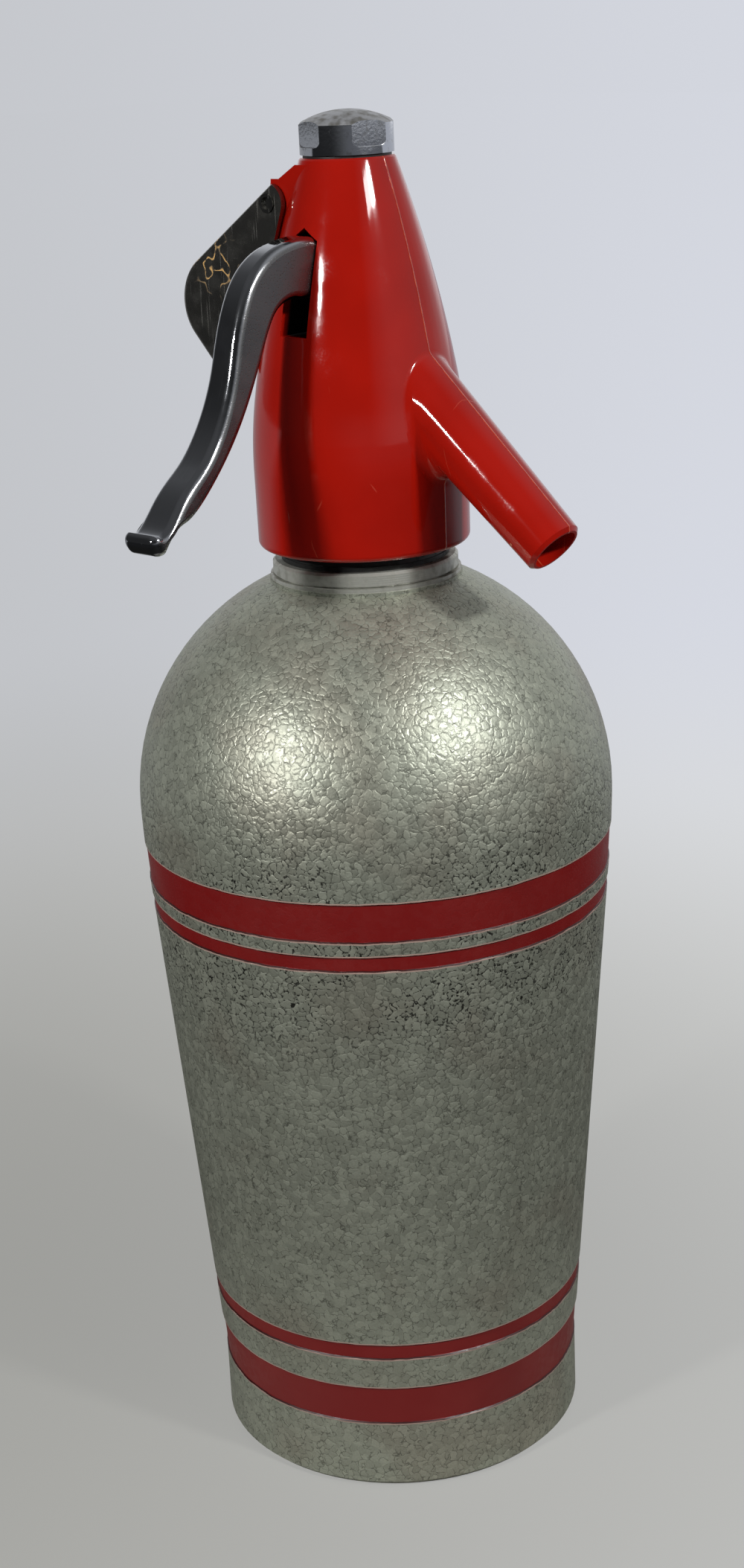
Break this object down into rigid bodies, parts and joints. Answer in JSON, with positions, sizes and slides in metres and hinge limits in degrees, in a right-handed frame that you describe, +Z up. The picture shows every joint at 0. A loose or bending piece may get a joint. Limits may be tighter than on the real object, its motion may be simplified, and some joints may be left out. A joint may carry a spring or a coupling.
{
  "type": "soda siphon",
  "caption": "Tapered metal bottle with a conical dispensing head, downward spout, swept squeeze lever, domed screw cap and a hinged hood over a sloping gas charger socket.",
  "frame": {"origin": "centre of the bottle's standing ring, on the surface it stands on", "axes": "+Z up along the bottle's axis; the spout points to +X, the squeeze lever to -Y and the charger socket to -X"},
  "size_m": [0.1128, 0.1242, 0.3142],
  "materials": {
    "bottle_paint": "silver hammertone paint with dark red painted bands",
    "head_paint": "glossy red enamel on a die casting",
    "bright_metal": "turned, satin",
    "chrome": "worn chrome plate",
    "lever_metal": "polished chrome plate",
    "hood_metal": "chromed sheet, scratched",
    "black_rubber": "matte",
    "steel": "bright",
    "brass": "turned",
    "tube_plastic": "translucent white"
  },
  "bodies": {
    "bottle": {"bottle": "bottle_paint", "neck_ring": "bright_metal"},
    "gasket": {"neck_gasket": "black_rubber"},
    "head": {"head_housing": "head_paint", "top_cap": "chrome", "cap_gasket": "black_rubber", "valve_spring": "steel", "valve_seat": "brass", "gland_bush": "brass", "stem_packing": "black_rubber", "gland_nut": "brass", "lever_pin": "steel", "dip_tube": "tube_plastic", "tube_seal": "black_rubber", "tube_nut": "tube_plastic", "charger_seal": "black_rubber", "pin_holder": "brass", "piercing_pin": "steel", "gas_nipple": "brass", "check_sleeve": "black_rubber", "hood_pin": "steel"},
    "lever": {"lever": "lever_metal"},
    "valve": {"valve_stem": "brass", "valve_washer": "black_rubber"},
    "hood": {"charger_hood": "hood_metal"}
  },
  "joints": [
    {"name": "head_lift", "type": "slide", "parent": "bottle", "child": "gasket", "axis": [0, 0, 1], "range_m": [0, 0.22]},
    {"name": "head_unscrew", "type": "hinge", "parent": "gasket", "child": "head", "pos_m": [0, 0, 0.22025], "axis": [0, 0, 1], "range_deg": [0, 720]},
    {"name": "lever_squeeze", "type": "hinge", "parent": "head", "child": "lever", "pos_m": [0, -0.0125, 0.28375], "axis": [1, 0, 0], "range_deg": [0, 14], "stiffness_Nm_per_rad": 1.5, "springref_deg": -22.92},
    {"name": "valve_lift", "type": "slide", "parent": "head", "child": "valve", "axis": [0, 0, 1], "range_m": [0, 0.0031], "deforming": ["valve_spring"]},
    {"name": "hood_swing", "type": "hinge", "parent": "head", "child": "hood", "pos_m": [-0.013, 0, 0.29525], "axis": [0, 1, 0], "range_deg": [0, 100]}
  ],
  "couplings": [
    {"joint": "valve_lift", "follows": "lever_squeeze", "m_per_rad": 0.0125}
  ]
}
